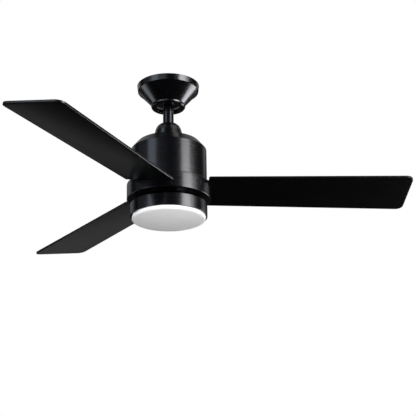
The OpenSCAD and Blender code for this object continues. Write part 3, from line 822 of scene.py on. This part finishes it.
def make_light_pan():
    """Pan with tabs for the lens, standoffs for the LED plate and a slot for the switch."""
    pan = lathe("pan_shell", rounded([
        (PAN_BORE_R, PAN_TOP, 0.3),
        (PAN_R, PAN_TOP, 0.8),
        (PAN_R, PAN_BOTTOM, 0.9),
        (PAN_LIP_R, PAN_BOTTOM, 0.4),
        (PAN_LIP_R, PAN_BOTTOM + SHEET, 0.3),
        (PAN_R - SHEET, PAN_BOTTOM + SHEET, 0.2),
        (PAN_R - SHEET, PAN_TOP - SHEET, 0.5),
        (PAN_BORE_R, PAN_TOP - SHEET, 0.3)]))
    extras = sectors("tab", PAN_R - 3.8, PAN_R - 0.9, TAB_HALF, TAB_BOTTOM, TAB_TOP)
    extras += pegs("standoff", STANDOFF_R, STANDOFF_CIRCLE_R, STANDOFF_ANGLES, STANDOFF_BOTTOM, PAN_TOP - 0.6)
    combine(pan, extras, "UNION")
    cuts = pegs("hole", PAN_SCREW_HOLE_R, PAN_SCREW_R, PAN_SCREW_ANGLES, PAN_TOP - 3, PAN_TOP + 2)
    cuts += pegs("bore", STANDOFF_BORE_R, STANDOFF_CIRCLE_R, STANDOFF_ANGLES,
                 STANDOFF_BOTTOM - 2, STANDOFF_BOTTOM + 8)
    slot = [(-SWITCH_SLOT_HALF, PAN_R - 6), (SWITCH_SLOT_HALF, PAN_R - 6),
            (SWITCH_SLOT_HALF, PAN_R + 2), (-SWITCH_SLOT_HALF, PAN_R + 2)]
    cuts.append(prism("switch_slot", slot, SWITCH_Z - SWITCH_SLOT_RISE, SWITCH_Z + SWITCH_SLOT_RISE))
    combine(pan, cuts, "DIFFERENCE")
    settle(pan, "light_pan", "pendant", "black_metal")


def lens_profile():
    """The lens from its collar down the outside to the dome's middle, and back up the inside."""
    edge_centre = LENS_R - EDGE_X
    outer_edge = arc(edge_centre, EDGE_START_Z, EDGE_X, EDGE_Z, 0, EDGE_STOP, ARC_STEPS)
    inner_edge = arc(edge_centre, EDGE_START_Z, EDGE_X - LENS_WALL, EDGE_Z - LENS_WALL,
                     EDGE_STOP, 0, ARC_STEPS)
    dome_r, dome_z = outer_edge[-1]
    dome = [(dome_r * share, dome_z - CROWN * (1 - share ** 2)) for share in DOME_SHARES]
    dome.append((0, dome_z - CROWN))
    collar = [(COLLAR_IN, COLLAR_TOP), (COLLAR_OUT, COLLAR_TOP), (COLLAR_OUT, LENS_SEAT),
              (LENS_R - 0.4, LENS_SEAT), (LENS_R, LENS_SEAT - 0.4)]
    inside = [(r, z + LENS_WALL) for r, z in reversed(dome)]
    return collar + outer_edge + dome + inside + inner_edge + [(COLLAR_IN, LENS_SEAT + 1.0)]


def make_lens():
    """Shallow drum of opal acrylic with an elliptical edge, a collar and three lugs."""
    lens = lathe("lens_shell", lens_profile())
    lugs = sectors("lug", PAN_R - 5, PAN_R - 2.2, LUG_HALF, LUG_BOTTOM, LUG_TOP)
    combine(lens, lugs, "UNION")
    settle(lens, "lens", "lens_body", "frosted_acrylic", sharp_above=40)


# ---------------------------------------------------------------- scene

REPLACED = ("canopy", "canopy_trim_ring", "downrod", "coupling_cover", "motor_housing", "hub_band", "blade_1",
            "blade_2", "blade_3", "light_pan", "lens")
FLOOR_R = 14000
FLOOR_TOP = -5000
FLOOR_T = 20


def paint_cad_nodes():
    """Every CAD node that is still shown gets its slot's material."""
    for name, obj in frame["nodes"].items():
        if name not in REPLACED:
            paint(obj, SLOT_OF[name])


def make_floor():
    """Pale round floor, far under the fan.

    It glows a little, so that it looks evenly pale, and it throws no light on the fan."""
    floor = prism("studio_floor", circle(0, 0, FLOOR_R, count=96), FLOOR_TOP - FLOOR_T, FLOOR_TOP)
    material, nodes, links, shader = node_tree("floor_paint")
    tone = noise(nodes, links, stretched(nodes, links, EVEN), 3, 2.0)
    links.new(blend_colours(nodes, links, tone, (0.86, 0.86, 0.86), (0.88, 0.88, 0.88)),
              shader.inputs["Base Color"])
    shader.inputs["Roughness"].default_value = 0.9
    shader.inputs["Emission Color"].default_value = (1, 1, 1, 1)
    shader.inputs["Emission Strength"].default_value = 0.6
    floor.data.materials.append(material)
    floor.visible_glossy = False
    floor.visible_diffuse = False


paint_cad_nodes()
make_canopy()
make_trim_ring()
make_downrod()
make_coupling_cover()
make_housing()
make_hub_band()
for number, turn in enumerate(THIRDS, 1):
    make_blade(number, turn)
make_light_pan()
make_lens()
make_floor()
make_key_lights()
make_edge_lights()
make_broad_lights()
make_world()
make_camera()
bpy.context.scene.view_settings.view_transform = "Standard"
